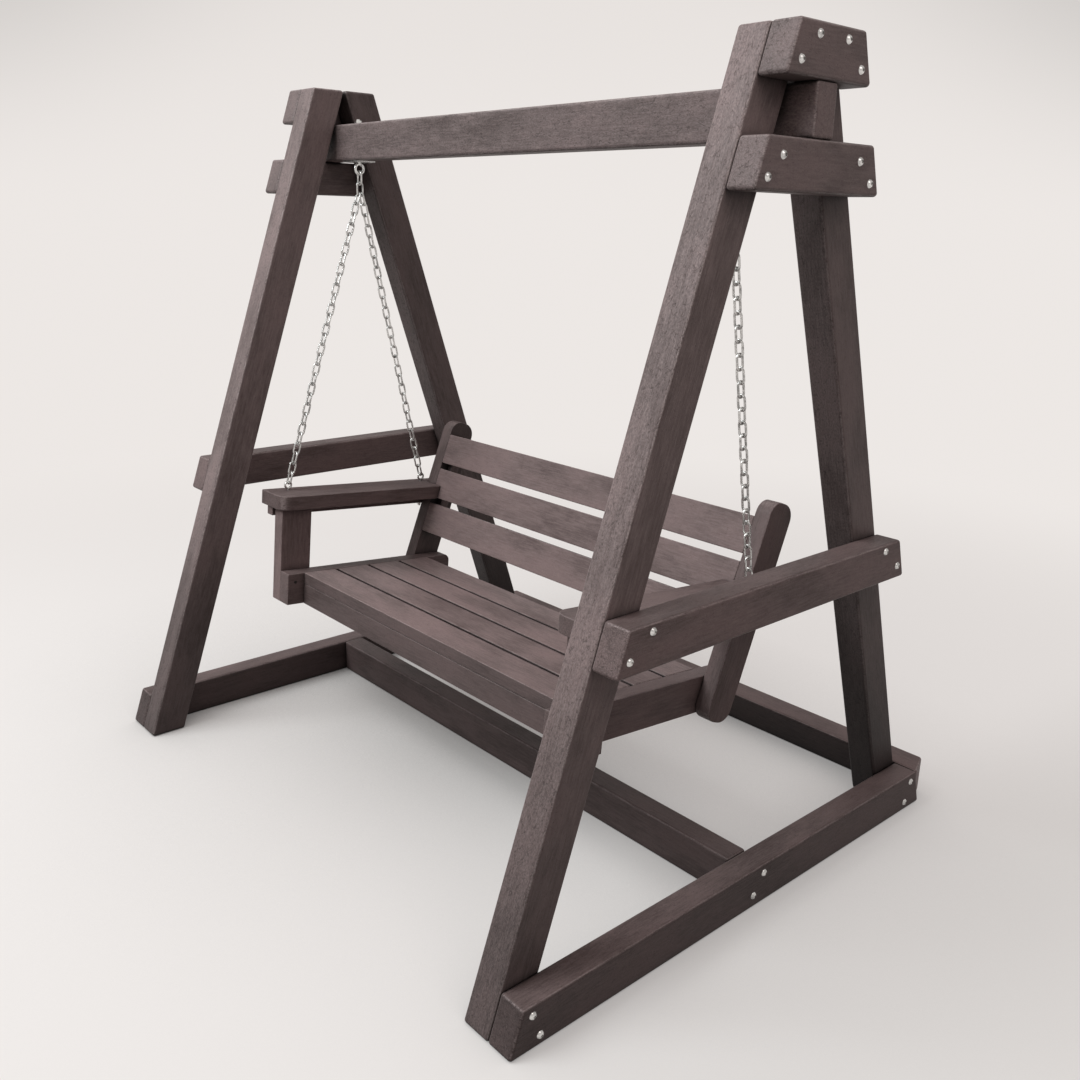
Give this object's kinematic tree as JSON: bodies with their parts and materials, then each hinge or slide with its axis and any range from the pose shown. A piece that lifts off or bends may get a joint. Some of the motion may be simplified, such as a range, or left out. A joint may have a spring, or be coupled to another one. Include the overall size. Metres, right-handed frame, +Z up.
{
  "type": "swing bench",
  "caption": "Porch swing bench: a slatted seat with arms and a leaning back, hung on chains from a beam that board A-frames carry.",
  "frame": {"origin": "on the floor, on the underside of the middle cross rail, straight below the middle of the beam and the hinge line", "axes": "+X to the right of someone who faces the bench from behind, along the beam; +Y from the seat's front to its back; +Z up"},
  "size_m": [1.808, 1.5152, 1.846],
  "materials": {
    "frame_lumber": "fine pitted skin, matte",
    "seat_lumber": "fine pitted skin, matte",
    "hardware": "zinc plated, satin",
    "chain": "zinc plated, satin",
    "screws": "dark coated"
  },
  "bodies": {
    "frame": {"leg_front_left": "frame_lumber", "leg_front_right": "frame_lumber", "leg_rear_left": "frame_lumber", "leg_rear_right": "frame_lumber", "upper_spreader_left": "frame_lumber", "upper_spreader_right": "frame_lumber", "lower_spreader_left": "frame_lumber", "lower_spreader_right": "frame_lumber", "mid_rail_left": "frame_lumber", "mid_rail_right": "frame_lumber", "ground_rail_left": "frame_lumber", "ground_rail_right": "frame_lumber", "top_beam": "frame_lumber", "cross_rail_middle": "frame_lumber", "cross_rail_rear": "frame_lumber", "upper_spreader_bolts": "hardware", "lower_spreader_bolts": "hardware", "mid_rail_bolts": "hardware", "ground_rail_bolts": "hardware", "cross_rail_bolts": "hardware", "beam_screws": "screws", "eye_bolts": "chain", "eye_plates": "hardware", "eye_nuts": "hardware"},
    "swing": {"seat_rail_left": "seat_lumber", "seat_rail_right": "seat_lumber", "seat_cleat_left": "seat_lumber", "seat_cleat_right": "seat_lumber", "arm_post_left": "seat_lumber", "arm_post_right": "seat_lumber", "arm_left": "seat_lumber", "arm_right": "seat_lumber", "arm_cleat_left": "seat_lumber", "arm_cleat_right": "seat_lumber", "back_upright_left": "seat_lumber", "back_upright_right": "seat_lumber", "back_cleat_left": "seat_lumber", "back_cleat_right": "seat_lumber", "seat_apron": "seat_lumber", "seat_rear_bearer": "seat_lumber", "seat_centre_bearer": "seat_lumber", "seat_slat_1": "seat_lumber", "seat_slat_2": "seat_lumber", "seat_slat_3": "seat_lumber", "seat_slat_4": "seat_lumber", "back_slat_top": "seat_lumber", "back_slat_middle": "seat_lumber", "back_slat_bottom": "seat_lumber", "hanger_links": "chain", "chain_front_left": "chain", "chain_front_right": "chain", "chain_rear_left": "chain", "chain_rear_right": "chain", "arm_eyes": "chain", "arm_eye_nuts": "hardware", "seat_rail_screws": "screws", "slat_screws": "screws", "arm_screws": "screws", "back_screws": "screws"}
  },
  "joints": [
    {"name": "swing", "type": "hinge", "parent": "frame", "child": "swing", "pos_m": [0, 0, 1.6295], "axis": [1, 0, 0], "range_deg": [-30, 30]}
  ]
}
